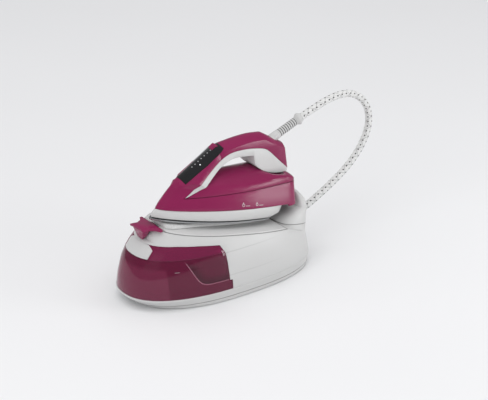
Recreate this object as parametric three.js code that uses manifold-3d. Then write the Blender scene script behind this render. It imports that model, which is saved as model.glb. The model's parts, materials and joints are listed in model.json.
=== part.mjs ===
// Steam generator iron: a steam iron that lifts off a wedge-shaped base with a removable water tank.
// Millimetres, +Z up. The iron's nose and the tank point to -Y, the tower and the hose to +Y.
// The base's bottom centre is the origin. Every mesh is one closed solid in its own named node.
import * as THREE from "three";
import { mergeVertices } from "three/addons/utils/BufferGeometryUtils.js";
import Module from "manifold-3d";

const wasm = await Module();
wasm.setup();

// ---- fits -------------------------------------------------------------------------------------
const GAP = 0.4; // between two pieces that sit against each other
const SEAM = 0.5; // shadow line round a piece that comes off
const WALL = 3; // moulded shell

// ---- base -------------------------------------------------------------------------------------
const BASE_LENGTH = 370;
const BASE_WIDTH = 194;
const FOOT_H = 1.2; // how far the feet stand below the tray
const RIM_Z = 22; // the tray's ledge, where the housing and the tank stand
const DECK_Z = 109.5; // the deck over the origin
const TILT = 9.6; // degrees the deck and the resting iron lean back
const LATCH_SEAT = 3; // the deck drops this much under the latch
const TANK_TOP = 107.5; // over the tank's front
const TANK_TOP_BACK = 100; // over its back edge
const TANK_STEP_Z = 38; // the tank's foot reaches further back below this
const FLAP_W = 70;
const FLAP_LOW = 88;

// ---- iron, in its own frame: y from the sole's tip to the heel, z square to the sole -----------
const SOLE_L = 226.5;
const SOLE_W = 115;
const SOLE_T = 2.6;
const SOLE_TOP = 0;
const SOLE_LOW = SOLE_TOP - SOLE_T;
const IRON_L = 276.5;
const SKIRT_LOW = SOLE_TOP + 1.8;
const SKIRT_HEEL = 250;
const HANDLE_W = 40;
const TIP = [-129.4, 144.1]; // the sole's tip in the base's Y and Z

// ---- hose -------------------------------------------------------------------------------------
const HOSE_D = 13;
const SIDES = 10;

const tan = Math.tan((TILT * Math.PI) / 180);
const deckZ = (y) => DECK_Z - tan * y;

// ---- small tools ------------------------------------------------------------------------------
const solid = (geometry) => {
  const g = geometry.clone();
  g.deleteAttribute("normal");
  g.deleteAttribute("uv");
  const m = mergeVertices(g, 1e-4);
  const made = new wasm.Mesh({
    numProp: 3,
    vertProperties: m.attributes.position.array,
    triVerts: new Uint32Array(m.index.array),
  });
  return new wasm.Manifold(made);
};

const geometryOf = (s) => {
  const m = s.getMesh();
  const g = new THREE.BufferGeometry();
  g.setAttribute("position", new THREE.Float32BufferAttribute(m.vertProperties, 3));
  g.setIndex([...m.triVerts]);
  g.computeVertexNormals();
  return g;
};

// A closed skin through rings of equal count, listed upwards and each wound anticlockwise.
const loft = (rings) => {
  const n = rings[0].length;
  const at = rings.flat().flat();
  const index = [];
  rings.slice(1).forEach((_, k) => {
    for (let i = 0; i < n; i++) {
      const [a, b] = [k * n + i, k * n + ((i + 1) % n)];
      index.push(a, b, b + n, a, b + n, a + n);
    }
  });
  [0, rings.length - 1].forEach((k) => {
    const c = [0, 1, 2].map((j) => rings[k].reduce((s, p) => s + p[j], 0) / n);
    const hub = at.length / 3;
    at.push(...c);
    for (let i = 0; i < n; i++) {
      const [a, b] = [k * n + i, k * n + ((i + 1) % n)];
      index.push(...(k ? [hub, a, b] : [hub, b, a]));
    }
  });
  const g = new THREE.BufferGeometry();
  g.setAttribute("position", new THREE.Float32BufferAttribute(at, 3));
  g.setIndex(index);
  return solid(g);
};

const shapeOf = (points) => new THREE.Shape(points.map((p) => new THREE.Vector2(...p)));
const extrude = (points, depth) =>
  new THREE.ExtrudeGeometry(shapeOf(points), { depth, bevelEnabled: false });
// Prism with its outline in Y and Z, from x0 to x1.
const prismX = (points, x0, x1) => {
  const g = extrude(points, x1 - x0);
  g.applyMatrix4(new THREE.Matrix4().set(0, 0, 1, x0, 1, 0, 0, 0, 0, 1, 0, 0, 0, 0, 0, 1));
  return solid(g);
};
// Prism with its outline in X and Y, from z0 to z1.
const prismZ = (points, z0, z1) => solid(extrude(points, z1 - z0).translate(0, 0, z0));
const box = (x, y, z, cx, cy, cz) => solid(new THREE.BoxGeometry(x, y, z).translate(cx, cy, cz));
// Turned solid from [radius, along] pairs, its axis from point `from` towards point `to`.
const turned = (profile, from, to, sides = 24) => {
  const g = new THREE.LatheGeometry(
    profile.map((p) => new THREE.Vector2(...p)),
    sides,
  );
  const dir = new THREE.Vector3(...to).sub(new THREE.Vector3(...from)).normalize();
  g.applyQuaternion(new THREE.Quaternion().setFromUnitVectors(new THREE.Vector3(0, 1, 0), dir));
  return solid(g.translate(...from));
};
const rod = (r, length) => [
  [0, 0],
  [r, 0],
  [r, length],
  [0, length],
];
const lerp = (a, b, t) => a + (b - a) * t;
// Straight steps between [key, value] pairs.
const along = (pairs, x) => {
  const i = Math.max(1, pairs.findIndex((p) => p[0] >= x));
  const [a, b] = x > pairs.at(-1)[0] ? pairs.slice(-2) : [pairs[i - 1], pairs[i]];
  return lerp(a[1], b[1], (x - a[0]) / (b[0] - a[0]));
};

const group = new THREE.Group();
const iron = new THREE.Group();
iron.position.set(0, ...TIP);
iron.rotation.x = (-TILT * Math.PI) / 180;
group.add(iron);

const PAINT = {
  white: [0xd9d9d6, 0.4, 0],
  magenta: [0x8e1f57, 0.3, 0],
  tank: [0x6e1e41, 0.15, 0],
  black: [0x141416, 0.2, 0],
  dark: [0x2c2c2e, 0.6, 0],
  grey: [0x8d8f91, 0.5, 0],
  rubber: [0x3a3b3d, 0.85, 0],
  metal: [0xa9adb0, 0.3, 1],
  brass: [0xb08d4a, 0.35, 1],
  green: [0x2f6b45, 0.5, 0],
  hose: [0xd6d6d2, 0.9, 0],
};
const add = (parent, name, shape, paint) => {
  const [color, roughness, metalness] = PAINT[paint];
  const material = new THREE.MeshStandardMaterial({ color, roughness, metalness });
  const mesh = new THREE.Mesh(shape.isBufferGeometry ? shape : geometryOf(shape), material);
  mesh.name = name;
  parent.add(mesh);
};

// ==== base =====================================================================================
const STEPS = 56;
// The base's outline: a rounded wedge, blunter behind than in front.
const plan = (scale, z, inset = 0, front = 0) =>
  Array.from({ length: STEPS }, (_, i) => {
    const a = (2 * Math.PI * i) / STEPS;
    const [c, s] = [Math.cos(a), Math.sin(a)];
    const power = 2 / (s < 0 ? 2.33 : 2.64);
    const half = BASE_LENGTH / 2 - (s < 0 ? front : 0);
    return [
      Math.sign(c) * Math.abs(c) ** power * ((BASE_WIDTH / 2) * scale - inset),
      Math.sign(s) * Math.abs(s) ** power * (half * scale - inset),
      z,
    ];
  });
// How the walls draw in as they rise.
const DRAW = [
  [RIM_Z, 1],
  [46, 0.978],
  [70, 0.943],
  [88, 0.893],
  [100, 0.845],
  [112, 0.785],
  [124, 0.72],
  [136, 0.64],
];
const skin = (z0, inset) =>
  loft(
    [[z0, along(DRAW, z0)], ...DRAW.filter((d) => d[0] > z0 + 1)].map(([z, s]) =>
      plan(s, z, inset),
    ),
  );

// Tray: a shallow pan under everything, drawn in below its ledge.
const TRAY_FLOOR = FOOT_H + WALL;
const pan = loft([
  plan(0.982, FOOT_H, 0, 20),
  plan(0.992, 8, 0, 11),
  plan(0.994, 17),
  plan(1, 18),
  plan(1, RIM_Z - GAP),
]);
const panInside = loft([
  plan(0.975, TRAY_FLOOR, WALL, 21),
  plan(0.98, 11, WALL, 12),
  plan(0.985, RIM_Z + 1, WALL),
]);
const BOILER = { y: 80, z: 45, r: 27, half: 52 };
const PUMP = { x: -52, y: 16, r: 17, length: 62 };
const BOARD = { x: 44, y: 20, w: 52, l: 60, z: 22 };
const stand = (w, l, x, y, top) => {
  const low = TRAY_FLOOR - 1;
  return box(w, l, top - low, x, y, (top + low) / 2);
};
const stands = [
  stand(30, 10, -30, BOILER.y, BOILER.z - 12),
  stand(30, 10, 30, BOILER.y, BOILER.z - 12),
  stand(22, 40, PUMP.x, PUMP.y, TRAY_FLOOR + 7),
  stand(8, 8, BOARD.x, BOARD.y - 24, BOARD.z - 0.5),
  stand(8, 8, BOARD.x, BOARD.y + 24, BOARD.z - 0.5),
];
let tray = pan.subtract(panInside);
stands.forEach((s) => (tray = tray.add(s)));
const boilerClear = turned(
  rod(BOILER.r + GAP, 2 * BOILER.half + 10),
  [-BOILER.half - 5, BOILER.y, BOILER.z],
  [0, BOILER.y, BOILER.z],
  32,
);
const pumpZ = TRAY_FLOOR + 4 + PUMP.r;
const pumpClear = turned(
  rod(PUMP.r + GAP, PUMP.length + 10),
  [PUMP.x, PUMP.y - PUMP.length / 2 - 5, pumpZ],
  [PUMP.x, PUMP.y, pumpZ],
);
tray = tray.subtract(boilerClear).subtract(pumpClear);

// Feet: round pads let into the tray.
const FEET = [
  [-62, -105],
  [62, -105],
  [-66, 112],
  [66, 112],
];
const FOOT = { r: 9, let: 1.4 };
FEET.forEach(([x, y], i) => {
  const pad = turned(rod(FOOT.r, FOOT_H + FOOT.let), [x, y, 0], [x, y, 1]);
  const seat = turned(rod(FOOT.r + GAP, FOOT_H + FOOT.let + GAP), [x, y, 0], [x, y, 1]);
  tray = tray.subtract(seat);
  add(group, `foot_${i + 1}`, pad, "rubber");
});
add(group, "base_tray", tray, "white");

// Tank bay: everything in front of this line, up to the tank's top, belongs to the tank.
const tankSide = (d, z0) => [
  [-200, z0],
  [-26 + d, z0],
  [-26 + d, TANK_STEP_Z + d],
  [-31 + d, TANK_STEP_Z + d],
  [-34 + d, 86],
  [-42 + d, TANK_TOP_BACK + d],
  [-76, lerp(TANK_TOP_BACK, TANK_TOP, 0.6) + d],
  [-110, TANK_TOP + d],
  [-200, TANK_TOP + d],
];

// Housing: the white shell, cut by the deck, that falls away behind it, with the tower.
const DECK_END = 96;
const topLine = (drop) => [
  [-200, RIM_Z - 5],
  [200, RIM_Z - 5],
  [200, deckZ(DECK_END) - drop - 0.47 * (200 - DECK_END)],
  [DECK_END, deckZ(DECK_END) - drop],
  [-116, deckZ(-116) - drop],
  [-118, deckZ(-118) - LATCH_SEAT - drop],
  [-131, deckZ(-131) - LATCH_SEAT - drop],
  [-136.5, 122 - drop],
  [-139.2, TANK_TOP + 4 - drop],
  [-150, TANK_TOP + 0.5 - drop],
  [-200, TANK_TOP + 0.5 - drop],
];
const outer = skin(RIM_Z, 0).intersect(prismX(topLine(0), -120, 120));
// Tower: cradles the iron's heel, hollow-faced in front, rounded on top.
const towerRing = (z, front, back, half) =>
  Array.from({ length: 32 }, (_, i) => {
    const a = (2 * Math.PI * i) / 32;
    const [c, s] = [Math.cos(a), Math.sin(a)];
    return [
      half * Math.sign(c) * Math.abs(c) ** 0.62,
      (front + back) / 2 + ((back - front) / 2) * Math.sign(s) * Math.abs(s) ** 0.62,
      z,
    ];
  });
const towerSkin = (inset, lift) =>
  loft(
    [
      [56, 98, 170, 62],
      [88, 104, 172, 60],
      [97, 115, 173, 57],
      [104, 130, 173.5, 54],
      [108, 149, 174, 50],
      [118, 151, 173, 44],
      [126, 152, 168, 38],
      [131, 154, 164, 30],
    ].map(([z, f, b, h]) => towerRing(z - lift, f + inset, b - inset, h - inset)),
  );
const inner = skin(RIM_Z - 4, WALL).intersect(prismX(topLine(WALL), -120, 120));
const bayInner = prismX(tankSide(SEAM + WALL, -10), -120, 120);
const HOSE_EXIT = { y: 166, z: 64.9, tilt: 23, r: 11 };
const MAINS_EXIT = { x: -52, y: 166, z: 36 };
const glandWay = (s) => {
  const a = (HOSE_EXIT.tilt * Math.PI) / 180;
  return [0, HOSE_EXIT.y + s * Math.cos(a), HOSE_EXIT.z + s * Math.sin(a)];
};
const hoseBore = turned(rod(HOSE_EXIT.r + GAP, 60), glandWay(-12), glandWay(0));
const mainsBore = turned(
  rod(9 + GAP, 60),
  [MAINS_EXIT.x, MAINS_EXIT.y - 30, MAINS_EXIT.z],
  [MAINS_EXIT.x, MAINS_EXIT.y, MAINS_EXIT.z],
);
const LATCH = { y: -124, z: deckZ(-124) - 5.5, r: 2, half: 17 };
let housing = outer
  .add(towerSkin(0, 0))
  .subtract(inner.subtract(bayInner))
  .subtract(towerSkin(WALL, WALL + 1))
  .subtract(prismX(tankSide(SEAM, -10), -120, 120))
  .subtract(hoseBore)
  .subtract(mainsBore);

// Latch: a winged lever, hinged at its back, that swings up over the iron's nose.
const latchAxis = (r, half) =>
  turned(rod(r, 2 * half), [-half, LATCH.y, LATCH.z], [0, LATCH.y, LATCH.z], 16);
const BOSS = { r: 3.8, half: 10 };
const latchSlot = box(
  2 * (BOSS.half + 1),
  16,
  20,
  0,
  LATCH.y,
  LATCH.z + 10 - BOSS.r - 1,
);
housing = housing.subtract(latchSlot).subtract(latchAxis(LATCH.r + GAP, LATCH.half + GAP));
add(group, "base_housing", housing, "white");

const PLATE = { low: LATCH.z + 4.2, t: 3.4, front: -154 };
const wing = (side) => [
  [side * 6, LATCH.y + 2.6],
  [side * 10, LATCH.y + 1],
  [side * 33, LATCH.y + 1],
  [side * 34, LATCH.y - 3],
  [side * 24, LATCH.y - 8],
  [side * 18, LATCH.y - 17],
  [side * 20, PLATE.front],
  [side * 8, PLATE.front + 2.5],
];
const plate = prismZ([...wing(1).reverse(), ...wing(-1)], PLATE.low, PLATE.low + PLATE.t);
const tongueRing = (z, half, front, back) => [
  [half, front, z],
  [half, back, z],
  [-half, back, z],
  [-half, front, z],
];
const tongue = loft([
  tongueRing(112, 7, -147.5, -144.5),
  tongueRing(118, 11, -148.5, -140.5),
  tongueRing(PLATE.low + 1, 16, -152, -137),
]);
const boss = turned(
  rod(BOSS.r, 2 * BOSS.half),
  [-BOSS.half, LATCH.y, LATCH.z],
  [0, LATCH.y, LATCH.z],
  20,
).add(box(2 * BOSS.half, 5, 5, 0, LATCH.y, LATCH.z + 2.5));
add(
  group,
  "lock_latch",
  plate.add(tongue).add(boss).subtract(latchAxis(LATCH.r + 0.25, LATCH.half + 5)),
  "magenta",
);
add(group, "latch_pin", latchAxis(LATCH.r, LATCH.half), "metal");

// ==== tank =====================================================================================
const tankOuter = skin(RIM_Z, 0).intersect(prismX(tankSide(0, RIM_Z), -120, 120));
const tankInner = skin(RIM_Z, WALL - 0.4).intersect(
  prismX(
    [
      [-200, RIM_Z + WALL],
      [-29, RIM_Z + WALL],
      [-29, TANK_STEP_Z - WALL],
      [-36, TANK_STEP_Z],
      [-38, 86],
      [-45, TANK_TOP_BACK - WALL],
      [-76, lerp(TANK_TOP_BACK, TANK_TOP, 0.6) - WALL],
      [-110, TANK_TOP - WALL],
      [-200, TANK_TOP - WALL],
    ],
    -120,
    120,
  ),
);
const flapZone = (d) => box(FLAP_W + 2 * d, 90, 60, 0, -190, FLAP_LOW - d + 30);
const flapSkin = (inset) => skin(RIM_Z, inset);
const NECK = { w: 40, z0: FLAP_LOW + 2, z1: TANK_TOP - 3 };
const neck = box(NECK.w, 60, NECK.z1 - NECK.z0, 0, -150, (NECK.z0 + NECK.z1) / 2);
const VALVE = { z: RIM_Z + 8, r: 6, length: 10 };
const valvePocket = box(40, 14, 16, 0, -26 - 6, VALVE.z - 1);
const tank = tankOuter
  .subtract(tankInner)
  .subtract(flapZone(SEAM).subtract(flapSkin(5)))
  .subtract(neck)
  .subtract(valvePocket)
  .subtract(
    turned(rod(3, 20), [0, -50, VALVE.z], [0, 0, VALVE.z], 12),
  );
add(group, "water_tank", tank, "tank");
add(
  group,
  "tank_valve",
  turned(rod(VALVE.r, VALVE.length), [0, -39 + GAP, VALVE.z], [0, 0, VALVE.z], 20),
  "grey",
);
const flap = flapSkin(0)
  .subtract(flapSkin(4.4))
  .intersect(flapZone(0))
  .intersect(prismX(tankSide(0, RIM_Z), -120, 120));
add(group, "filler_flap", flap, "white");
add(
  group,
  "filler_seal",
  box(NECK.w - 6, 30, NECK.z1 - NECK.z0 - 4, 0, -155, (NECK.z0 + NECK.z1) / 2)
    .intersect(flapSkin(4.4 + GAP))
    .subtract(flapSkin(7)),
  "rubber",
);

// ==== inside the base ==========================================================================
const dome = BOILER.r * 0.35;
add(
  group,
  "boiler",
  turned(
    [
      [0, 0],
      [BOILER.r * 0.6, 1.5],
      [BOILER.r - 1, dome],
      [BOILER.r - 1, 2 * BOILER.half - dome],
      [BOILER.r * 0.6, 2 * BOILER.half - 1.5],
      [0, 2 * BOILER.half],
    ],
    [-BOILER.half, BOILER.y, BOILER.z],
    [0, BOILER.y, BOILER.z],
    28,
  ),
  "metal",
);
add(
  group,
  "boiler_band",
  turned(rod(BOILER.r + 1.4, 10), [-5, BOILER.y, BOILER.z], [0, BOILER.y, BOILER.z], 28).subtract(
    turned(rod(BOILER.r - 1 + GAP, 30), [-15, BOILER.y, BOILER.z], [0, BOILER.y, BOILER.z], 28),
  ),
  "grey",
);
add(
  group,
  "steam_valve",
  turned(rod(7, 16), [34, BOILER.y, BOILER.z + BOILER.r - 1 + GAP], [34, BOILER.y, 99]).add(
    box(14, 22, 8, 34, BOILER.y, BOILER.z + BOILER.r + 7),
  ),
  "brass",
);
add(
  group,
  "pump",
  turned(
    [
      [0, 0],
      [8, 0],
      [8, 8],
      [PUMP.r, 9],
      [PUMP.r, 46],
      [10, 47],
      [10, PUMP.length],
      [0, PUMP.length],
    ],
    [PUMP.x, PUMP.y - PUMP.length / 2, pumpZ],
    [PUMP.x, PUMP.y + 100, pumpZ],
    24,
  ),
  "dark",
);
add(
  group,
  "base_board",
  box(BOARD.w, BOARD.l, 1.6, BOARD.x, BOARD.y, BOARD.z + 0.7)
    .add(box(14, 12, 9, BOARD.x - 12, BOARD.y - 14, BOARD.z + 5))
    .add(box(10, 18, 12, BOARD.x + 12, BOARD.y + 10, BOARD.z + 6)),
  "green",
);

// Glands on the back: a sleeve through the wall with a collar outside.
const GLAND_END = 31;
add(
  group,
  "hose_gland",
  turned(
    [
      [0, -8],
      [HOSE_EXIT.r, -8],
      [HOSE_EXIT.r, 16],
      [HOSE_D / 2 + 2.6, 20],
      [HOSE_D / 2 + 1.6, GLAND_END],
      [0, GLAND_END],
    ],
    glandWay(0),
    glandWay(10),
  ),
  "grey",
);
add(
  group,
  "mains_gland",
  turned(
    [
      [0, -8],
      [9, -8],
      [9, 10],
      [6, 13],
      [5, 19],
      [3.4, 19],
      [3.4, 4],
      [0, 4],
    ],
    [MAINS_EXIT.x, MAINS_EXIT.y, MAINS_EXIT.z],
    [MAINS_EXIT.x, MAINS_EXIT.y + 1, MAINS_EXIT.z],
  ),
  "dark",
);

// ==== rest for the iron ========================================================================
// Half outline of the iron from its tip to its heel, for a given reach, width and squareness.
const ironRing = (tip, heel, half, z, square = 5, blunt = 0.75) => {
  const zOf = typeof z === "function" ? z : () => z;
  const reach = (heel - tip) * 0.7;
  const side = [];
  for (let i = 1; i <= 12; i++) {
    const t = (i / 12) ** 1.5;
    const w = (1 - (1 - t) ** 1.75) ** blunt;
    side.push([half * w, tip + reach * t]);
  }
  for (let i = 1; i <= 7; i++) {
    const a = ((i / 8) * Math.PI) / 2;
    const [c, s] = [Math.cos(a) ** (2 / square), Math.sin(a) ** (2 / square)];
    side.push([half * c, tip + reach + (heel - tip - reach) * s]);
  }
  const ring = [
    [0, tip],
    ...side,
    [0, heel],
    ...side
      .map(([x, y]) => [-x, y])
      .reverse(),
  ];
  return ring.map(([x, y]) => [x, y, zOf(y)]);
};
const inIron = (s) => s.rotate([-TILT, 0, 0]).translate([0, ...TIP]);
const restLow = -(TIP[1] - deckZ(TIP[0])) * Math.cos((TILT * Math.PI) / 180) + GAP;
const PAD_T = 2.5;
const REST_TOP = SOLE_LOW - PAD_T - 1;
const restRing = (inset, z) => {
  const half = [
    [24 - inset, 18 + inset],
    [33 - inset, 26 + inset],
    [33 - inset, 70],
    [38 - inset, 130],
    [38 - inset, 186],
    [33 - inset, 203 - inset],
  ];
  return [...half, ...half.map(([x, y]) => [-x, y]).reverse()].map(([x, y]) => [x, y, z]);
};
add(group, "iron_rest", inIron(loft([restRing(0, restLow), restRing(2.5, REST_TOP)])), "white");
const PADS = [
  [-16, 62],
  [16, 62],
  [-28, 170],
  [28, 170],
];
PADS.forEach(([x, y], i) =>
  add(
    group,
    `rest_pad_${i + 1}`,
    inIron(
      turned(rod(8, PAD_T + 1 - 2 * GAP), [x, y, REST_TOP + GAP], [x, y, 1], 20),
    ),
    "rubber",
  ),
);

// ==== iron =====================================================================================
add(
  iron,
  "soleplate",
  loft([
    ironRing(0.8, SOLE_L - 0.8, SOLE_W / 2 - 0.8, SOLE_LOW),
    ironRing(0, SOLE_L, SOLE_W / 2, SOLE_TOP),
  ]),
  "metal",
);
const shieldRing = (z, grow = 0) =>
  ironRing(9 - 2.5 * grow, SOLE_L - 8 + grow, SOLE_W / 2 - 5 + grow, z);
add(
  iron,
  "heat_shield",
  loft([shieldRing(SOLE_TOP + GAP), shieldRing(9)]).subtract(
    loft([
      ironRing(26, SOLE_L - 20, SOLE_W / 2 - 18, -1, 5),
      ironRing(26, SOLE_L - 20, SOLE_W / 2 - 18, 20, 5),
    ]),
  ),
  "dark",
);
// Skirt: the white band over the sole, higher towards the heel.
const skirtTop = (y) => 14.6 + 0.033 * y;
const skirt = loft([
  ironRing(4, SKIRT_HEEL - 19, SOLE_W / 2 - 0.8, SKIRT_LOW, 5),
  ironRing(4, SKIRT_HEEL - 6, SOLE_W / 2 + 0.8, 8, 5),
  ironRing(9.3, SKIRT_HEEL, SOLE_W / 2 - 0.5, skirtTop, 5),
]).subtract(
  loft([
    shieldRing(SKIRT_LOW - 1, GAP),
    shieldRing(9 + GAP, GAP),
    ironRing(16, SKIRT_HEEL - 17, SOLE_W / 2 - 7, 9 + GAP + 0.2, 5),
    ironRing(20, SKIRT_HEEL - 15, SOLE_W / 2 - 8, 40, 5),
  ]),
);
add(iron, "iron_skirt", skirt, "white");

// Body of the iron: nose ridge and heel lean back as they rise.
const ridge = (z) => 9.9 + (z - 15.1) / 1.354 - 0.0048 * (z - 15.1) * (64.8 - z);
const heel = (z) => IRON_L - 0.1 * (z - 12);
const BODY = [
  [12.5, 57.5],
  [24, 56.5],
  [40, 51.5],
  [52, 48],
  [66, 44.5],
];
const HEEL_SQUARE = 7;
const NOSE_BLUNT = 0.65;
const bodySkin = (inset, low, sections = BODY) =>
  loft(
    sections.map(([z, half], i) =>
      ironRing(
        ridge(z) + 3 * inset,
        heel(z) - inset,
        half - inset,
        i ? z : low,
        HEEL_SQUARE,
        NOSE_BLUNT,
      ),
    ),
  );
const parting = (y) => 31 + 0.115 * y;
const V_TIP = [52, parting(52)];
const eased = (points, steps) =>
  new THREE.SplineCurve(points.map((p) => new THREE.Vector2(...p)))
    .getPoints(steps)
    .map((p) => p.toArray());
// Outer line of the white loop, seen from the side, from its front point to its back point.
const LOOP = eased(
  [
    V_TIP,
    [72, 55.8],
    [92, 76],
    [114, 97],
    [135.6, 110.6],
    [163.8, 116.2],
    [190, 117],
    [208, 115.2],
    [221, 109],
    [244, 92.5],
    [268, 76.5],
  ],
  40,
);
const HANDLE_TOP = [
  ...eased(
    [
      [112.4, 120.1],
      [126.1, 124.6],
      [157.1, 133.3],
      [184, 138.6],
      [207.5, 140.2],
    ],
    12,
  ),
  [255, 122],
  [271, 76],
];
const raise = (points, dy, dz) => points.map(([y, z]) => [y + dy, z + dz]);
const SPLIT_Y = 118; // the front column meets the grip shell here
const columnTop = [
  [SPLIT_Y, along(LOOP, SPLIT_Y)],
  [112.4, 120.1],
];
const frontColumn = prismX(
  [
    [0, 12],
    [300, 12],
    [300, parting(300)],
    ...LOOP.filter((p) => p[0] < SPLIT_Y - 1),
    ...columnTop,
    [46.6, 64.8],
    [2, 15.1],
  ],
  -70,
  70,
);
// Handle: half width falls from the flared roots to the grip and rounds over on top.
const gripRing = (z, half, front, back) => {
  const n = 36;
  const mid = front + 46;
  return Array.from({ length: n }, (_, i) => {
    const a = (2 * Math.PI * i) / n;
    const [c, s] = [Math.cos(a), Math.sin(a)];
    return [
      half * Math.sign(c) * Math.abs(c) ** 0.5,
      mid + (s < 0 ? mid - front : back - mid) * Math.sign(s) * Math.abs(s) ** (s < 0 ? 0.9 : 0.5),
      z,
    ];
  });
};
const FRONT = (z) => (z < 64.8 ? ridge(z) : z < 120 ? 46.6 + (z - 64.8) * 1.19 : 112.3);
const GRIP = [
  [36, 41],
  [50, 34],
  [64, 28.5],
  [80, 24.5],
  [98, 21.5],
  [118, HANDLE_W / 2],
  [131, 18.8],
  [141, 17],
];
const gripLimit = loft([
  ...BODY.slice(0, 4).map(([z, half]) =>
    ironRing(ridge(z), heel(z), half, z, HEEL_SQUARE, NOSE_BLUNT),
  ),
  ironRing(43, 280, 52, 62, HEEL_SQUARE, 0.5),
  ironRing(40, 290, 75, 78, HEEL_SQUARE, 0.4),
  ironRing(-30, 300, 80, 90),
  ironRing(-30, 300, 80, 150),
]);
// The handle's top falls away on either side of its middle line: across, down. It falls faster
// at the handle's foot.
const CROWN = [
  [4, 0.5],
  [8, 1.9],
  [12, 4.3],
  [15, 6.7],
  [18, 9],
  [60, 34],
];
const crownLimit = (inset) =>
  loft(
    [[-30, 64.8], [46.6, 64.8], ...HANDLE_TOP, [280, 55]].map(([y, top]) => {
      const z = top - 1.3 * inset;
      const fall = ([x, drop]) => [x, z - (y < 50 && x < 20 ? 1.7 * drop : drop)];
      const side = [[0, z], ...CROWN.map(fall), [60, -20]];
      const far = side.slice(1).reverse();
      return [...far.map(([x, h]) => [-x, y, h]), ...side.map(([x, h]) => [x, y, h])];
    }),
  );
const HANDLE_BACK = 274;
const gripCore = (inset) =>
  loft(
    GRIP.map(([z, half]) =>
      gripRing(z, half - inset, FRONT(z) + 1.6 * inset, HANDLE_BACK - inset),
    ),
  ).intersect(crownLimit(inset));
const grip = gripCore(0).intersect(gripLimit);
const PANEL = { t: 3.5, depth: 9, half: 24, end: 94 };
const SLOPE = [65.8, 55.3]; // along the panel, from its foot to its head
const slopeLength = Math.hypot(...SLOPE);
const [uy, uz] = SLOPE.map((v) => v / slopeLength);
const onPanel = (s, depth) => [46.6 + uy * s + uz * depth, 64.8 + uz * s - uy * depth];
// Slab along the panel's slope, from depth d0 to d1 under its face.
const slab = (s0, s1, d0, d1, half) =>
  prismX([onPanel(s0, d0), onPanel(s1, d0), onPanel(s1, d1), onPanel(s0, d1)], -half, half);
const panelZone = (d) =>
  slab(3 - d, PANEL.end + d, -9, PANEL.depth + d, PANEL.half + d).subtract(
    gripCore(PANEL.t + d),
  );
const BUTTON = { s: 84, w: 12, l: 13, depth: 8, travel: 2 };
const buttonZone = (d, depth) =>
  slab(BUTTON.s - BUTTON.l / 2 - d, BUTTON.s + BUTTON.l / 2 + d, -8, depth, BUTTON.w / 2 + d);
const bodyInside = bodySkin(WALL, 11);
const BOARD_D = PANEL.t + 4;
const boardPocket = slab(14, 62, PANEL.t - 1, BOARD_D + 4, 11);
// The cover's lower edge rises behind the skirt, to the heel.
const HEEL_CUT = [
  [SKIRT_HEEL + 1, 0],
  [300, 0],
  [300, 21],
  [SKIRT_HEEL + 1, 20],
];
const lower = bodySkin(0, 12.5)
  .add(grip)
  .intersect(frontColumn)
  .subtract(bodyInside)
  .subtract(
    prismX(
      [
        [-10, 0],
        [SKIRT_HEEL + 1, 0],
        [SKIRT_HEEL + 1, skirtTop(SKIRT_HEEL + 1) + GAP],
        [-10, skirtTop(-10) + GAP],
      ],
      -80,
      80,
    ),
  )
  .subtract(panelZone(GAP))
  .subtract(buttonZone(GAP, BUTTON.depth + BUTTON.travel + GAP))
  .subtract(boardPocket)
  .subtract(prismX(HEEL_CUT, -80, 80));
add(iron, "iron_lower_cover", lower, "magenta");

// Saddle under the grip, from the loop's front legs to the heel: ribs across, front to back.
const arch = (y, half, low, top, square) =>
  Array.from({ length: 17 }, (_, i) => {
    const a = (Math.PI * i) / 16;
    const [c, s] = [Math.cos(a), Math.sin(a)];
    return [
      half * Math.sign(c) * Math.abs(c) ** (2 / square),
      y,
      low + (top - low) * Math.max(0, s) ** (2 / square),
    ];
  }).reverse();
const SADDLE = [
  [58, 31, 58, 1.6],
  [80, 41, 66, 1.5],
  [110, 46, 75, 1.45],
  [150, 49.5, 80, 1.45],
  [195, 50.5, 83, 1.6],
  [225, 49, 81, 2.2],
  [252, 46, 76, 3.1],
  [264, 43, 71, 3.4],
  [271, 41, 62, 3.4],
];
const saddleSkin = (inset, drop) =>
  loft(
    SADDLE.map(([y, half, top, square], i) =>
      arch(
        y + (i ? (i === SADDLE.length - 1 ? -inset : 0) : inset),
        half - inset,
        parting(y) + GAP - drop,
        top - inset,
        square,
      ),
    ),
  );
// Inner line of the loop, and of the lobe behind the opening.
const LOOP_UNDER = [
  [V_TIP[0] + 1.6, V_TIP[1] + 0.6],
  ...eased(
    [
      [79, 52],
      [90, 60.5],
      [104, 75],
      [119, 89],
      [140, 100.5],
      [163, 104],
      [186, 104.5],
    ],
    18,
  ),
];
const LOBE_UNDER = eased(
  [
    [190, 88],
    [202, 80],
    [219, 74],
    [240, 71.4],
    [268, 71.4],
  ],
  10,
);
const loopSide = (d) =>
  prismX(
    [
      ...raise(LOOP_UNDER, 0.4 * d, -1.2 * d),
      ...raise(LOBE_UNDER, -0.6 * d, -d),
      [269 + d, 71.4 - d],
      [269 + d, 150],
      [100, 150],
      [40, 60],
    ],
    -60,
    60,
  );
add(
  iron,
  "iron_upper_cover",
  saddleSkin(0, 0)
    .intersect(bodySkin(0, 12.5, [...BODY, [90, 40]]))
    .subtract(saddleSkin(WALL, 8).intersect(bodySkin(WALL, 12.5, [...BODY, [90, 40]])))
    .subtract(loopSide(GAP)),
  "magenta",
);

const lining = grip.intersect(
  prismX(
    [
      ...LOOP_UNDER,
      ...LOBE_UNDER,
      ...raise(LOOP.slice(1), GAP / 2, -GAP).reverse(),
    ],
    -60,
    60,
  ),
);
add(iron, "handle_lining", lining.subtract(bodyInside), "white");

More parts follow.
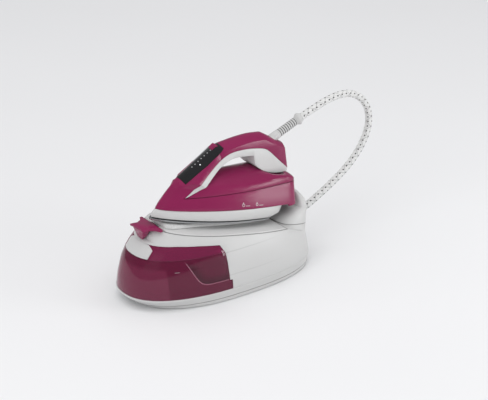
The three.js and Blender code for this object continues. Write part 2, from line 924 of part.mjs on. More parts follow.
const shell = grip
  .intersect(
    prismX(
      [
        [SPLIT_Y + GAP, along(LOOP, SPLIT_Y + GAP)],
        ...LOOP.filter((p) => p[0] > SPLIT_Y + 1),
        ...raise(HANDLE_TOP, GAP, 0).reverse(),
      ],
      -60,
      60,
    ),
  )
  .subtract(panelZone(GAP))
  .subtract(buttonZone(GAP, BUTTON.depth + BUTTON.travel + GAP));
const CUFF = { from: [0, 236, 127.3], to: [0, 291.9, 161.7] };
const cuffDir = new THREE.Vector3(...CUFF.to).sub(new THREE.Vector3(...CUFF.from)).normalize();
const onCuff = (s) => CUFF.from.map((v, i) => v + cuffDir.toArray()[i] * s);
const cuffBore = turned(rod(8 + GAP, 40), onCuff(-7), onCuff(20));
add(iron, "handle_shell", shell.subtract(cuffBore), "magenta");

const panel = grip.intersect(panelZone(0)).subtract(buttonZone(GAP, 20));
add(iron, "control_panel", panel, "black");
const face = grip.intersect(buttonZone(0, BUTTON.depth));
const raised = prismX(
  [
    onPanel(BUTTON.s - 5, -1.6),
    onPanel(BUTTON.s + 5, -1.6),
    onPanel(BUTTON.s + 6, 2),
    onPanel(BUTTON.s - 6, 2),
  ],
  -5,
  5,
);
add(iron, "steam_button", face.add(raised), "magenta");
add(iron, "iron_board", slab(16, 60, BOARD_D, BOARD_D + 1.6, 9), "green");

// Inside the iron: the casting on the sole that turns water to steam, its heater and thermostat.
const CHAMBER_TOP = 26;
const chamberRing = (z, inset) =>
  ironRing(32 + inset, SOLE_L - 24 - inset, SOLE_W / 2 - 21 - inset, z);
const CHANNEL = 5;
const heaterPath = (r, extra) => {
  const pts = [];
  const [half, back, tip] = [20, 190 + extra, 84];
  pts.push(new THREE.Vector3(half, back, CHAMBER_TOP));
  for (let i = 0; i <= 12; i++) {
    const a = (Math.PI * i) / 12;
    pts.push(new THREE.Vector3(half * Math.cos(a), tip - half * Math.sin(a), CHAMBER_TOP));
  }
  pts.push(new THREE.Vector3(-half, back, CHAMBER_TOP));
  const path = new THREE.CurvePath();
  pts.slice(1).forEach((p, i) => path.add(new THREE.LineCurve3(pts[i], p)));
  const circle = new THREE.Shape(
    Array.from({ length: SIDES }, (_, i) => {
      const a = (2 * Math.PI * i) / SIDES;
      return new THREE.Vector2(r * Math.cos(a), r * Math.sin(a));
    }),
  );
  const curve = new THREE.CatmullRomCurve3(pts, false, "catmullrom", 0.2);
  return solid(
    new THREE.ExtrudeGeometry(circle, { steps: 40, extrudePath: curve, bevelEnabled: false }),
  );
};
add(
  iron,
  "steam_chamber",
  loft([chamberRing(SOLE_TOP + GAP, 0), chamberRing(CHAMBER_TOP, 3)]).subtract(
    heaterPath(CHANNEL, 30),
  ),
  "metal",
);
add(iron, "heating_element", heaterPath(CHANNEL - 1, 0), "dark");
add(
  iron,
  "thermostat",
  turned(rod(9, 10), [0, 130, CHAMBER_TOP + GAP], [0, 130, 60]).add(
    turned(rod(3, 16), [0, 130, CHAMBER_TOP + 1], [0, 130, 60]),
  ),
  "brass",
);

// Hose end on the handle: cuff, ribbed sleeve, flared collar.
const CUFF_END = 13;
add(
  iron,
  "hose_cuff",
  turned(
    [
      [0, -6.5],
      [8, -6.5],
      [8, CUFF_END - 2],
      [7.6, CUFF_END],
      [0, CUFF_END],
    ],
    onCuff(0),
    onCuff(10),
  ),
  "white",
);
const RIBS = 9;
const ribStart = CUFF_END + GAP;
const RIB = 4.45;
const ribbed = [[0, ribStart]];
for (let i = 0; i < RIBS; i++) {
  const s = ribStart + i * RIB;
  ribbed.push([7.4, s], [7.4, s + 2.9], [6.1, s + 3.2], [6.1, s + RIB]);
}
const ribEnd = ribStart + RIBS * RIB;
ribbed.push([7.2, ribEnd + 0.01], [7.2, ribEnd + 1.5], [0, ribEnd + 1.5]);
add(iron, "hose_sleeve", turned(ribbed, onCuff(0), onCuff(10), 20), "grey");
const collarStart = ribEnd + 1.5 + GAP;
add(
  iron,
  "hose_collar",
  turned(
    [
      [0, collarStart],
      [7.4, collarStart],
      [11.5, collarStart + 6],
      [11.5, collarStart + 9],
      [8.6, collarStart + 13],
      [0, collarStart + 13],
    ],
    onCuff(0),
    onCuff(10),
    12,
  ).scale([0.74, 1, 1]),
  "white",
);

// The steam hose arches up behind the handle and comes down into the tower.
iron.updateMatrixWorld(true);
const worldOf = (p) => new THREE.Vector3(...p).applyMatrix4(iron.matrixWorld).toArray();
const hoseStart = worldOf(onCuff(collarStart + 13 + GAP)).slice(1);
const HOSE_ROUTE = [
  [207, 263.3],
  [226, 270],
  [246, 276],
  [268, 280],
  [292, 280],
  [314, 273],
  [332, 259.5],
  [344, 241],
  [348.5, 219],
  [345, 197],
  [335, 176],
  [320, 156],
  [301, 138],
  [279, 122],
  [256, 108],
  [234, 96],
  [214, 85.8],
];
const hoseEnd = glandWay(GLAND_END + GAP).slice(1);
const hoseCurve = new THREE.CatmullRomCurve3(
  [hoseStart, ...HOSE_ROUTE, hoseEnd].map(([y, z]) => new THREE.Vector3(0, y, z)),
);
const hoseSection = Array.from({ length: SIDES }, (_, i) => {
  const a = (2 * Math.PI * i) / SIDES;
  return [(HOSE_D / 2) * Math.cos(a), (HOSE_D / 2) * Math.sin(a)];
});
add(
  group,
  "hose_loop",
  solid(
    new THREE.ExtrudeGeometry(shapeOf(hoseSection), {
      steps: 26,
      extrudePath: hoseCurve,
      bevelEnabled: false,
    }),
  ),
  "hose",
);

export default group;
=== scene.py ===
"""Looks of the steam generator iron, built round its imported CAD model. Metres, +Z up, nose to -Y."""

import json
import math

import bpy
import numpy as np
from mathutils import Matrix, Vector


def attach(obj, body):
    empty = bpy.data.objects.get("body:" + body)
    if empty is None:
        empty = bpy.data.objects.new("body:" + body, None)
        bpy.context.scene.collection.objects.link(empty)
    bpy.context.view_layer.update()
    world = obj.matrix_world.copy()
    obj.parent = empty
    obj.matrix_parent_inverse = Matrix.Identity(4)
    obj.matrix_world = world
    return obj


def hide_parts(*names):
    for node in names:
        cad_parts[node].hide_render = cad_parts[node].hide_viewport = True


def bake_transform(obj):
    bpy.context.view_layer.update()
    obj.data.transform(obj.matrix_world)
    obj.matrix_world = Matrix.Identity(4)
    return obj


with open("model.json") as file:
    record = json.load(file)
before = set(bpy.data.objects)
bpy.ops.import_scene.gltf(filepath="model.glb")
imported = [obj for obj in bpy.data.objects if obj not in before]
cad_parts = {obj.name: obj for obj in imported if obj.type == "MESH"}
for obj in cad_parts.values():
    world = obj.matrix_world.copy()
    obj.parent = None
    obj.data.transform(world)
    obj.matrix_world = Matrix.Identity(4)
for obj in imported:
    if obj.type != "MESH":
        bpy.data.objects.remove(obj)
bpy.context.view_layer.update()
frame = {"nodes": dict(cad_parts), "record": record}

# ---- sizes taken over from the CAD model, in metres ---------------------------------------------
TILT = math.radians(9.6)  # how far the resting iron leans back
SOLE_TIP = (-0.1294, 0.1441)  # the sole's tip, in Y and Z
DECK_EDGE = 0.1070  # height of the deck's edge groove at the origin
SIDE_CREASES = (0.0862, 0.0470)  # heights of the housing's two side creases
CREASE_END = 0.095  # where they have faded out, towards the tower
TRAY_GROOVE = 0.0085
TANK_FOLD = 0.0870  # the tank's side folds inwards over this height
TANK_BACK = -0.0335
LATCH_BACK = -0.126
PARTING = (0.0304, 0.115)  # the side band's top edge in the iron's own frame: z at y=0, and slope
BAND_MIDDLE = 0.0275
PANEL_FOOT = (0.0466, 0.0648)  # foot of the panel's slope, in the iron's own y and z
PANEL_RUN = (0.0658, 0.0553)
CUFF_FROM = Vector((0, 0.236, 0.1273))
CUFF_TO = Vector((0, 0.2919, 0.1617))
GAP = 0.0004  # between two pieces that sit against each other
CUFF_END = 0.013
RIBS = 9
RIB = 0.00445  # from one rib of the sleeve to the next
SLEEVE_LIP = 0.0015
COLLAR_L = 0.013
HOSE_D = 0.013
HOSE_EXIT = (0.166, 0.0649, math.radians(23))
GLAND_END = 0.0314
HOSE_ROUTE = [
    (0.207, 0.2633),
    (0.226, 0.270),
    (0.246, 0.276),
    (0.268, 0.280),
    (0.292, 0.280),
    (0.314, 0.273),
    (0.332, 0.2595),
    (0.344, 0.241),
    (0.3485, 0.219),
    (0.345, 0.197),
    (0.335, 0.176),
    (0.320, 0.156),
    (0.301, 0.138),
    (0.279, 0.122),
    (0.256, 0.108),
    (0.234, 0.096),
    (0.214, 0.0858),
]


def from_iron(p):
    """A point of the iron's own frame, in the part's frame."""
    c, s = math.cos(TILT), math.sin(TILT)
    return Vector((p[0], SOLE_TIP[0] + p[1] * c + p[2] * s, SOLE_TIP[1] - p[1] * s + p[2] * c))


def on_cuff(s):
    """The point that far along the cuff's axis."""
    return from_iron(CUFF_FROM + (CUFF_TO - CUFF_FROM).normalized() * s)


def new_object(name, data):
    """An object of the scene that shows this data."""
    obj = bpy.data.objects.new(name, data)
    bpy.context.scene.collection.objects.link(obj)
    return obj


# ---- camera and light ---------------------------------------------------------------------------
def place_camera():
    """Looks down on the iron from in front and to its right."""
    place = (1.5722, -1.0564, 0.9630)
    right = Vector((0.5807, 0.8141, 0.0))
    up = Vector((-0.3233, 0.2306, 0.9178))
    back = right.cross(up)
    turn = Matrix((right, up, back)).transposed().to_4x4()
    camera = new_object("camera", bpy.data.cameras.new("camera"))
    camera.matrix_world = Matrix.Translation(place) @ turn
    camera.data.lens = 88.52
    camera.data.sensor_width = 36
    bpy.context.scene.camera = camera


def soft_light(name, place, towards, size, power, mirrored):
    """A flat lamp that faces a point. Gloss shows it only if it is mirrored."""
    light = new_object(name, bpy.data.lights.new(name, "AREA"))
    light.data.shape = "RECTANGLE"
    light.data.size, light.data.size_y = size
    light.data.energy = power
    light.location = place
    light.visible_glossy = mirrored
    aim = Vector(towards) - Vector(place)
    light.rotation_euler = aim.to_track_quat("-Z", "Y").to_euler()


place_camera()
soft_light("top_softbox", (-0.4, 0.4, 5.0), (-0.4, 0.4, 0), (9.0, 9.0), 310, False)
soft_light("front_softbox", (1.0, -2.4, 1.2), (0, 0, 0.1), (1.8, 1.4), 24, False)
soft_light("side_softbox", (1.5, 1.35, 0.42), (0, 0.1, 0.15), (0.9, 0.7), 13, True)
world = bpy.data.worlds.new("studio")
world.use_nodes = True
sky = world.node_tree.nodes["Background"]
sky.inputs["Color"].default_value = (0.96, 0.97, 1.0, 1)
sky.inputs["Strength"].default_value = 0.3
bpy.context.scene.world = world
bpy.context.scene.view_settings.view_transform = "Standard"


# ---- shader writing -----------------------------------------------------------------------------
class Value:
    """A number that varies over a surface. Arithmetic on it adds Math nodes."""

    def __init__(self, finish, socket):
        self.finish = finish
        self.socket = socket

    def math(self, operation, *others, clamp=False):
        n = self.finish.node("Math", {"operation": operation, "use_clamp": clamp})
        for slot, value in zip(n.inputs, (self, *others)):
            self.finish.feed(slot, value)
        return Value(self.finish, n.outputs[0])

    def __add__(self, other):
        return self.math("ADD", other)

    def __mul__(self, other):
        return self.math("MULTIPLY", other)

    def __sub__(self, other):
        return self.math("SUBTRACT", other)

    def __rsub__(self, other):
        return (self * -1).math("ADD", other)

    __radd__ = __add__
    __rmul__ = __mul__

    def __truediv__(self, other):
        return self.math("DIVIDE", other)

    def __abs__(self):
        return self.math("ABSOLUTE")

    def __pow__(self, other):
        return self.math("POWER", other)

    def fraction(self):
        return self.math("FRACT")

    def under(self, limit, soft):
        """1 where the value is below the limit, fading to 0 over the soft width."""
        return ((limit - self) / soft).math("ADD", 0.5, clamp=True)


class Finish:
    """A procedural material round one Principled shader."""

    def __init__(self, name, **fixed):
        self.material = bpy.data.materials.new(name)
        self.material.use_nodes = True
        self.tree = self.material.node_tree
        self.shader = self.tree.nodes["Principled BSDF"]
        for socket, value in fixed.items():
            self.shader.inputs[socket.replace("_", " ")].default_value = value
        self.kept = {}

    def node(self, kind, settings=None, inputs=None):
        n = self.tree.nodes.new("ShaderNode" + kind)
        for key, value in (settings or {}).items():
            setattr(n, key, value)
        for key, value in (inputs or {}).items():
            self.feed(n.inputs[key], value)
        return n

    def feed(self, socket, value):
        source = getattr(value, "socket", value)
        if isinstance(source, bpy.types.NodeSocket):
            self.tree.links.new(source, socket)
        else:
            socket.default_value = source

    def set(self, **links):
        for socket, value in links.items():
            self.feed(self.shader.inputs[socket.replace("_", " ")], value)
        return self

    def place(self):
        """X, Y and Z over the piece."""
        if "place" not in self.kept:
            coords = self.node("TexCoord").outputs["Object"]
            split = self.node("SeparateXYZ", inputs={0: coords})
            self.kept["place"] = [Value(self, split.outputs[i]) for i in range(3)]
        return self.kept["place"]

    def iron_place(self):
        """X, y and z of the iron's own frame over the piece."""
        x, y, z = self.place()
        c, s = math.cos(TILT), math.sin(TILT)
        dy, dz = y - SOLE_TIP[0], z - SOLE_TIP[1]
        return x, dy * c - dz * s, dy * s + dz * c

    def noise(self, scale, detail=2.0, stretch=None):
        coords = self.node("TexCoord").outputs["Object"]
        if stretch:
            coords = self.node("Mapping", inputs={"Vector": coords, "Scale": stretch}).outputs[0]
        n = self.node("TexNoise", inputs={"Vector": coords, "Scale": scale, "Detail": detail})
        return Value(self, n.outputs["Fac"])

    def colour(self, factor, low, high):
        n = self.node("Mix", {"data_type": "RGBA"})
        self.feed(n.inputs[0], factor)
        for socket, value in ((n.inputs[6], low), (n.inputs[7], high)):
            self.feed(socket, (*value, 1) if isinstance(value, tuple) else value)
        return n.outputs[2]

    def bump(self, height, depth, strength=1.0):
        n = self.node("Bump", inputs={"Height": height, "Distance": depth, "Strength": strength})
        return n.outputs[0]


def line(value, at, width, soft=0.0003):
    """1 on a line of that width where the value passes `at`."""
    return abs(value - at).under(width / 2, soft)


def ramp(value, over):
    """0 below zero, rising to 1 over that distance."""
    return (value / over).math("MULTIPLY", 1.0, clamp=True)


def halfway(steps, reach, soft):
    """1 within that reach of the middle of every step; steps runs from 0 to 1 over each."""
    return abs(steps - 0.5).under(reach, soft)


GROOVE = 0.0006  # depth of a drawn groove
GROOVE_SHADE = 0.16  # painted shade: colour at a groove's bottom, as a share of the plastic's
INK = (0.62, 0.60, 0.60)


def moulded(name, low, high, rough, grain=0.00004, seams=None, ink=None, **fixed):
    """Moulded plastic: faint mottling, uneven gloss and a fine skin grain.

    seams(finish) says where grooves run, which are bumped in and painted darker as painted shade, and
    ink(finish) where small marks are printed.
    """
    f = Finish(name, **fixed)
    cloudy = f.noise(14, 3)
    base = f.colour(cloudy, low, high)
    height = f.noise(2600, 1) * (grain / GROOVE)
    if seams:
        groove = seams(f)
        # painted shade: the grooves are painted darker, towards GROOVE_SHADE of the plastic's colour
        base = f.colour(groove * 0.7, base, tuple(GROOVE_SHADE * c for c in low))
        height = height - groove
    if ink:
        base = f.colour(ink(f), base, INK)
    f.set(
        Base_Color=base,
        Roughness=cloudy * 0.07 + f.noise(420, 2) * 0.06 + rough,
        Normal=f.bump(height, GROOVE),
    )
    return f


def deck_groove(f):
    """A groove just under the deck's edge, and two creases that run back along the sides. All three
    are bumped in and painted darker as painted shade, the creases more faintly.
    """
    _, y, z = f.place()
    over_deck = z - (DECK_EDGE - math.tan(TILT) * y)
    behind_latch = y.math("GREATER_THAN", LATCH_BACK)
    groove = line(over_deck, 0.0, 0.0011) * behind_latch
    fade = (CREASE_END - y).math("MULTIPLY", 12, clamp=True)
    upper, lower = (line(z, height, 0.0014, 0.0014) * fade for height in SIDE_CREASES)
    return groove.math("MAXIMUM", (upper * 0.28).math("MAXIMUM", lower * 0.22))


def band_seam(f):
    """The parting line along the top edge of the iron's side band, bumped in and painted darker as
    painted shade.
    """
    _, y, z = f.iron_place()
    height, slope = PARTING
    behind_nose = y.math("GREATER_THAN", 0.05)
    return line(z - y * slope, height, 0.0007) * behind_nose


def band_marks(f):
    """Two small signs printed on the side band: a ring with a stem, and a dash behind it."""
    _, y, z = f.iron_place()
    signs = []
    for at, size in ((0.154, 0.0022), (0.181, 0.0019)):
        away = ((y - at) ** 2 + (z - BAND_MIDDLE) ** 2) ** 0.5
        ring = line(away, size, 0.0007, 0.0002)
        stem = line(y, at, 0.0012) * line(z, BAND_MIDDLE + size * 1.5, 0.0022)
        dash = line(y, at + 0.0085, 0.0085) * line(z, BAND_MIDDLE - 0.0013, 0.0010)
        signs.append(ring.math("MAXIMUM", stem.math("MAXIMUM", dash * 0.7)))
    return signs[0].math("MAXIMUM", signs[1])


def tray_groove(f):
    """A groove round the tray, half way down, bumped in and painted darker as painted shade."""
    return line(f.place()[2], TRAY_GROOVE, 0.0011)


WHITE = ((0.565, 0.565, 0.56), (0.60, 0.60, 0.595), 0.34)
white_plastic = moulded("white_plastic", *WHITE)
housing_white = moulded("housing_white", *WHITE, seams=deck_groove)
tray_white = moulded("tray_white", *WHITE, seams=tray_groove)
MAGENTA = ((0.225, 0.012, 0.072), (0.255, 0.016, 0.083), 0.17)
magenta_plastic = moulded("magenta_plastic", *MAGENTA, Specular_IOR_Level=0.35)
band_magenta = moulded(
    "band_magenta", *MAGENTA, seams=band_seam, ink=band_marks, Specular_IOR_Level=0.35
)
grey_plastic = moulded("grey_plastic", (0.42, 0.42, 0.42), (0.47, 0.47, 0.47), 0.42)
dark_plastic = moulded("dark_plastic", (0.025, 0.025, 0.027), (0.04, 0.04, 0.042), 0.5)
rubber = moulded("rubber", (0.03, 0.03, 0.032), (0.05, 0.05, 0.052), 0.72, 0.00012)


def recess_depth(y, z):
    """How far a place on the tank's side lies inside the grip recess, which slopes down to a floor."""
    corner, floor, rounding = (-0.1048, 0.0811), 0.0400, 0.022
    slope = (y - corner[0]) * 0.89 - (corner[1] - z) * 0.454
    return slope.math("SMOOTH_MIN", z - floor, rounding)


def make_tank_plastic():
    """Tinted clear plastic, with a grip recess and a fill mark. The band over the fold is painted
    paler as painted light, and the front is painted paler as a painted reflection. The recess and the
    fold are painted darker as painted shade, and the recess's edge carries a painted highlight."""
    recess_top, recess_fade = 0.0790, 0.014
    front, front_top = -0.1365, 0.0735
    band_foot = TANK_FOLD + 0.0005
    mark_x, mark_z = 0.0720, 0.0687
    f = Finish("tank_plastic", IOR=1.49, Transmission_Weight=0.55, Specular_IOR_Level=0.3)
    x, y, z = f.place()
    cloudy = f.noise(9, 2)
    recess = recess_depth(y, z)
    side = z.under(recess_top, recess_fade) * y.under(TANK_BACK, 0.001)
    inner = ramp(recess, 0.0008) * side
    shade = inner * (1 - ramp(recess, 0.016))
    crease_highlight = line(recess, 0.0, 0.0014, 0.0010) * side
    front_painted_reflection = y.under(front, 0.0015) * z.under(front_top, 0.006)
    upper = ((z - band_foot) / 0.0006).math("ADD", 0.5, clamp=True)
    fold = line(z, TANK_FOLD, 0.0009, 0.0005)
    mark = line(z, mark_z, 0.0007, 0.0002) * line(x, mark_x, 0.0035) * y.under(-0.10, 0.001)
    base = f.colour(cloudy, (0.205, 0.010, 0.058), (0.24, 0.014, 0.07))
    for share, tint in (
        # painted reflection: the front of the tank is painted paler
        (front_painted_reflection * 0.8, (0.34, 0.045, 0.12)),
        # painted light: the band above the fold, which faces up, is painted paler
        (upper * 0.75, (0.36, 0.030, 0.125)),
        # painted shade: the grip recess is painted darker, most just inside its edge
        (shade * 0.6 + inner * 0.2, (0.06, 0.001, 0.016)),
        # painted shade: a dark line along the fold
        (fold * 0.6, (0.09, 0.002, 0.022)),
        # painted highlight: a bright line along the recess's edge
        (crease_highlight * 0.9, (0.72, 0.30, 0.42)),
        (mark, (0.75, 0.72, 0.72)),
    ):
        base = f.colour(share, base, tint)
    f.set(
        Base_Color=base,
        Roughness=cloudy * 0.04 + f.noise(300, 2) * 0.03 + 0.05,
        Normal=f.bump((1 - inner) + upper * 0.3, 0.0010),
    )
    return f


def make_panel_gloss():
    """Black gloss, with a column of dashes up its slope and one lit dot beside them."""
    row, column_middle, column_half = 0.0072, 0.0545, 0.0245
    dash_x = 0.0035
    dot_x, dot_s, dot_square = 0.0105, 0.0445, 0.0000008  # its place, and its radius squared
    f = Finish("panel_gloss", Coat_Weight=0.6, Coat_Roughness=0.04)
    x, y, z = f.iron_place()
    run = math.hypot(*PANEL_RUN)
    u, v = PANEL_RUN[0] / run, PANEL_RUN[1] / run
    s = (y - PANEL_FOOT[0]) * u + (z - PANEL_FOOT[1]) * v
    rows = (s / row).fraction()
    column = abs(s - column_middle).under(column_half, 0.0004)
    dashes = line(x, dash_x, 0.0022) * halfway(rows, 0.12, 0.04) * column * 0.5
    dot = ((x - dot_x) ** 2 + (s - dot_s) ** 2).under(dot_square, dot_square)
    ink = (dashes + dot * 1.4).math("MINIMUM", 1.0)
    smear = f.noise(60, 3)
    f.set(
        Base_Color=f.colour(ink, (0.007, 0.007, 0.008), (0.75, 0.75, 0.75)),
        Roughness=smear * 0.1 + ink * 0.25 + 0.12,
        Emission_Color=f.colour(dot, (0.0, 0.0, 0.0), (0.9, 0.95, 1.0)),
        Normal=f.bump(f.noise(900, 1), 0.00001),
    )
    f.shader.inputs["Emission Strength"].default_value = 0.6
    return f


def metal(name, low, high, rough, stretch, scale=700, **fixed):
    """Metal with a drawn grain along the least stretched way."""
    f = Finish(name, Metallic=1.0, **fixed)
    grain = f.noise(scale, 3, stretch)
    f.set(
        Base_Color=f.colour(grain, low, high),
        Roughness=grain * 0.16 + rough,
        Normal=f.bump(grain, 0.00002),
    )
    return f


def make_hose_cloth():
    """Braided sleeve: crossing threads, with dark flecks in staggered rows."""
    thread, crossing, fleck_step = 0.0011, 0.02, 0.0098
    rows_round = 5
    f = Finish("hose_cloth", Roughness=0.85, Sheen_Weight=0.25, Sheen_Roughness=0.5)
    uv = f.node("UVMap", {"uv_map": "sleeve"}).outputs[0]
    split = f.node("SeparateXYZ", inputs={0: uv})
    run, round_ = (Value(f, split.outputs[i]) for i in range(2))
    left, right = ((run / crossing + round_ * turns).fraction() for turns in (2, -2))
    thin = halfway(left, 0.045, 0.03).math("MAXIMUM", halfway(right, 0.045, 0.03))
    threads, back = ((run / thread + round_ * turns).fraction() - 0.5 for turns in (20, -20))
    weave = abs(threads) + abs(back)
    row = round_ * rows_round + 0.25
    rows = row.fraction()
    steps = (run / fleck_step + row.math("FLOOR") * 0.5 + rows * 0.12).fraction()
    flecks = halfway(rows, 0.14, 0.03) * halfway(steps, 0.14, 0.03)
    base = f.colour(weave, (0.80, 0.80, 0.79), (0.66, 0.66, 0.65))
    base = f.colour(thin * 0.5, base, (0.22, 0.22, 0.22))
    f.set(
        Base_Color=f.colour(flecks, base, (0.006, 0.006, 0.007)),
        Roughness=weave * 0.1 + 0.78,
        Normal=f.bump(weave, -0.0003, 0.7),
    )
    return f


def make_sleeve_grey():
    """Ribbed sleeve: pale ribs, and grooves painted dark near the core, as painted shade."""
    core_radius = 0.0068
    f = Finish("sleeve_grey")
    x, y, z = f.iron_place()
    way = (CUFF_TO - CUFF_FROM).normalized()
    across = (y - CUFF_FROM.y) * way.z - (z - CUFF_FROM.z) * way.y
    core = (x * x + across * across).under(core_radius**2, 0.000006)
    f.set(
        # painted shade: dark where the surface lies near the core, in the grooves
        Base_Color=f.colour(core, (0.56, 0.56, 0.555), (0.05, 0.05, 0.05)),
        Roughness=f.noise(300, 2) * 0.1 + 0.42,
        Normal=f.bump(f.noise(1800, 1), 0.00004),
    )
    return f


def make_board():
    """Green board with paler tracks across it."""
    pitch = 0.004
    f = Finish("board_green")
    tracks = line((f.place()[0] / pitch).fraction(), 0.5, 0.25, 0.05)
    f.set(
        Base_Color=f.colour(tracks, (0.015, 0.10, 0.04), (0.03, 0.17, 0.08)),
        Roughness=tracks * 0.1 + 0.35,
        Normal=f.bump(tracks, 0.0001),
    )
    return f


tank_plastic = make_tank_plastic()
panel_gloss = make_panel_gloss()
hose_cloth = make_hose_cloth()
sleeve_grey = make_sleeve_grey()
board_green = make_board()
sole_metal = metal("sole_metal", (0.44, 0.45, 0.46), (0.52, 0.53, 0.54), 0.30, (1, 0.06, 1))
cast_aluminium = metal("cast_aluminium", (0.50, 0.51, 0.52), (0.58, 0.59, 0.6), 0.38, (1, 1, 1))
steel = metal("steel", (0.52, 0.52, 0.53), (0.60, 0.60, 0.61), 0.22, (0.1, 1, 1))
brass = metal("brass", (0.55, 0.38, 0.15), (0.62, 0.45, 0.2), 0.26, (1, 1, 0.2))


# ---- modelling tools ----------------------------------------------------------------------------
def take(obj):
    """Makes obj the only selected object, and the active one."""
    bpy.ops.object.select_all(action="DESELECT")
    obj.select_set(True)
    bpy.context.view_layer.objects.active = obj
    return obj


def dress(obj, finish):
    """Gives obj that finish alone."""
    obj.data.materials.clear()
    obj.data.materials.append(finish.material)


def smooth(obj, degrees):
    """Shades obj smooth, apart from edges sharper than that."""
    take(obj)
    bpy.ops.object.shade_smooth_by_angle(angle=math.radians(degrees))


def cad_copy(node, name):
    """A merged copy of a CAD node's mesh, with flat faces joined again."""
    source = frame["nodes"][node]
    piece = take(new_object(name, source.data.copy()))
    bpy.ops.mesh.customdata_custom_splitnormals_clear()
    bpy.ops.object.mode_set(mode="EDIT")
    bpy.ops.mesh.select_all(action="SELECT")
    bpy.ops.mesh.remove_doubles(threshold=0.000002)
    bpy.ops.mesh.dissolve_limited(angle_limit=math.radians(0.5))
    bpy.ops.object.mode_set(mode="OBJECT")
    return piece


def apply(obj, kind, **settings):
    """Adds a modifier with those settings and applies it."""
    take(obj)
    modifier = obj.modifiers.new(kind.lower(), kind)
    for key, value in settings.items():
        setattr(modifier, key, value)
    bpy.ops.object.modifier_apply(modifier=modifier.name)


def rounded(obj, width, degrees=38, segments=2, smooth_under=34):
    """Rounds the edges that are sharper than that many degrees, and shades obj smooth."""
    apply(
        obj,
        "BEVEL",
        width=width,
        segments=segments,
        limit_method="ANGLE",
        angle_limit=math.radians(degrees),
        use_clamp_overlap=True,
        miter_outer="MITER_ARC",
    )
    smooth(obj, smooth_under)


def body_of(node):
    """The moving body that a CAD node belongs to."""
    bodies = frame["record"]["behaviour"]["bodies"]
    return next(b for b, nodes in bodies.items() if node in nodes)


def stand_for(piece, node, finish):
    """The piece takes the CAD node's place and body, and gets its finish."""
    dress(piece, finish)
    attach(piece, body_of(node))
    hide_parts(node)


# ---- steam hose ---------------------------------------------------------------------------------
def hose_line(step=0.002):
    """Points along the hose's route, evenly spaced: a centripetal spline through its points."""
    y, z, tilt = HOSE_EXIT
    end = Vector((0, y + GLAND_END * math.cos(tilt), z + GLAND_END * math.sin(tilt)))
    start = on_cuff(CUFF_END + GAP + RIBS * RIB + SLEEVE_LIP + GAP + COLLAR_L + GAP)
    knots = [start, *(Vector((0, *p)) for p in HOSE_ROUTE), end]
    knots = [knots[0] * 2 - knots[1], *knots, knots[-1] * 2 - knots[-2]]
    points = []
    for a, b, c, d in zip(knots, knots[1:], knots[2:], knots[3:]):
        t1 = (b - a).length ** 0.5
        t2 = t1 + (c - b).length ** 0.5
        t3 = t2 + (d - c).length ** 0.5
        for k in range(24):
            t = t1 + (t2 - t1) * k / 24
            ab = a * ((t1 - t) / t1) + b * (t / t1)
            bc = b * ((t2 - t) / (t2 - t1)) + c * ((t - t1) / (t2 - t1))
            cd = c * ((t3 - t) / (t3 - t2)) + d * ((t - t2) / (t3 - t2))
            abc = ab * ((t2 - t) / t2) + bc * (t / t2)
            bcd = bc * ((t3 - t) / (t3 - t1)) + cd * ((t - t1) / (t3 - t1))
            points.append(abc * ((t2 - t) / (t2 - t1)) + bcd * ((t - t1) / (t2 - t1)))
    points.append(knots[-2])
    at = np.array(points)
    run = np.concatenate([[0], np.cumsum(np.linalg.norm(np.diff(at, axis=0), axis=1))])
    marks = np.linspace(0, run[-1], round(run[-1] / step) + 1)
    return np.stack([np.interp(marks, run, at[:, i]) for i in range(3)], axis=1), run[-1]


def tube(name, path, radius, sides):
    """A closed tube along a path in the plane X=0, with a UV map of run and turn."""
    ahead = np.gradient(path, axis=0)
    ahead /= np.linalg.norm(ahead, axis=1)[:, None]
    up = np.stack([ahead[:, 0], -ahead[:, 2], ahead[:, 1]], axis=1)
    side = np.array([1.0, 0, 0])
    angles = np.arange(sides) * 2 * math.pi / sides
    rings = (
        path[:, None]
        + radius * np.cos(angles)[None, :, None] * side
        + radius * np.sin(angles)[None, :, None] * up[:, None]
    )
    n = len(path)
    verts = [tuple(p) for p in rings.reshape(-1, 3)] + [tuple(path[0]), tuple(path[-1])]
    faces = []
    for k in range(n - 1):
        for i in range(sides):
            a, b = k * sides + i, k * sides + (i + 1) % sides
            faces.append((a, a + sides, b + sides, b))
    hub = n * sides
    for i in range(sides):
        a, b = i, (i + 1) % sides
        faces.append((hub, a, b))
        faces.append((hub + 1, b + (n - 1) * sides, a + (n - 1) * sides))
    mesh = bpy.data.meshes.new(name)
    mesh.from_pydata(verts, [], faces)
    run = np.concatenate([[0], np.cumsum(np.linalg.norm(np.diff(path, axis=0), axis=1))])
    uv = mesh.uv_layers.new(name="sleeve")
    for f in mesh.polygons:
        turns = [(v % sides) / sides if v < hub else 0 for v in f.vertices]
        wrap = max(turns) - min(turns) > 0.5
        for loop, v, t in zip(f.loop_indices, f.vertices, turns):
            along = run[min(v // sides, n - 1)] if v < hub else run[0 if v == hub else -1]
            uv.data[loop].uv = (along, t + (1 if wrap and t < 0.5 else 0))
    return new_object(name, mesh)


hose_path, hose_length = hose_line()
hose = tube("steam_hose", hose_path, HOSE_D / 2, 24)
smooth(hose, 60)
dress(hose, hose_cloth)
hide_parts("hose_loop")
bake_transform(hose)

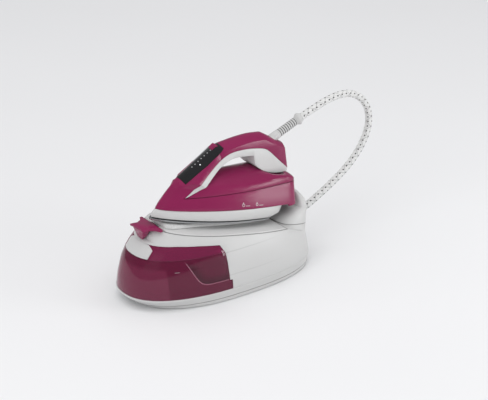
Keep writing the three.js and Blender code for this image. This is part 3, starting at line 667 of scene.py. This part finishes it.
# ---- shells -------------------------------------------------------------------------------------
# CAD node, name of the piece that stands for it, its slot, its finish, how far edges are rounded.
SHELLS = [
    ("base_housing", "white_housing", "base_white", housing_white, 0.0012),
    ("base_tray", "tray_pan", "base_white", tray_white, 0.0006),
    ("lock_latch", "nose_latch", "magenta", magenta_plastic, 0.0008),
    ("water_tank", "tank_shell", "tank", tank_plastic, 0.0010),
    ("filler_flap", "flap_shell", "base_white", white_plastic, 0.0008),
    ("iron_rest", "rest_plate", "base_white", white_plastic, 0.0012),
    ("soleplate", "sole_sheet", "soleplate", sole_metal, 0.0004),
    ("iron_skirt", "white_skirt", "base_white", white_plastic, 0.0010),
    ("iron_lower_cover", "lower_shell", "magenta", band_magenta, 0.0008),
    ("iron_upper_cover", "saddle_shell", "magenta", magenta_plastic, 0.0008),
    ("handle_lining", "white_loop", "base_white", white_plastic, 0.0007),
    ("handle_shell", "grip_shell", "magenta", magenta_plastic, 0.0012),
    ("control_panel", "panel_glass", "panel_black", panel_gloss, 0.0004),
    ("steam_button", "button_cap", "magenta", magenta_plastic, 0.0008),
]
for node, name, slot, finish, edge in SHELLS:
    piece = cad_copy(node, name)
    rounded(piece, edge)
    stand_for(piece, node, finish)

# ---- finishes of the CAD nodes that show as they are ---------------------------------------------
PLAIN = [
    (rubber, ["foot_1", "foot_2", "foot_3", "foot_4", "filler_seal"]),
    (rubber, ["rest_pad_1", "rest_pad_2", "rest_pad_3", "rest_pad_4"]),
    (steel, ["latch_pin", "boiler_band", "heating_element"]),
    (grey_plastic, ["tank_valve", "hose_gland"]),
    (dark_plastic, ["pump", "mains_gland", "heat_shield"]),
    (cast_aluminium, ["boiler", "steam_chamber"]),
    (brass, ["steam_valve", "thermostat"]),
    (board_green, ["base_board", "iron_board"]),
    (white_plastic, ["hose_cuff", "hose_collar"]),
    (sleeve_grey, ["hose_sleeve"]),
]
for finish, nodes in PLAIN:
    for node in nodes:
        dress(frame["nodes"][node], finish)


# ---- floor --------------------------------------------------------------------------------------
def lay_floor():
    """A pale paper ground that reaches past every view."""
    bpy.ops.object.select_all(action="DESELECT")
    bpy.ops.mesh.primitive_plane_add(size=40, location=(0, 0, 0))
    floor = bpy.context.object
    floor.name = "floor"
    f = Finish("floor_paper", Roughness=0.9)
    f.set(Base_Color=f.colour(f.noise(1.5, 2), (0.82, 0.82, 0.828), (0.84, 0.84, 0.848)))
    dress(floor, f)


lay_floor()
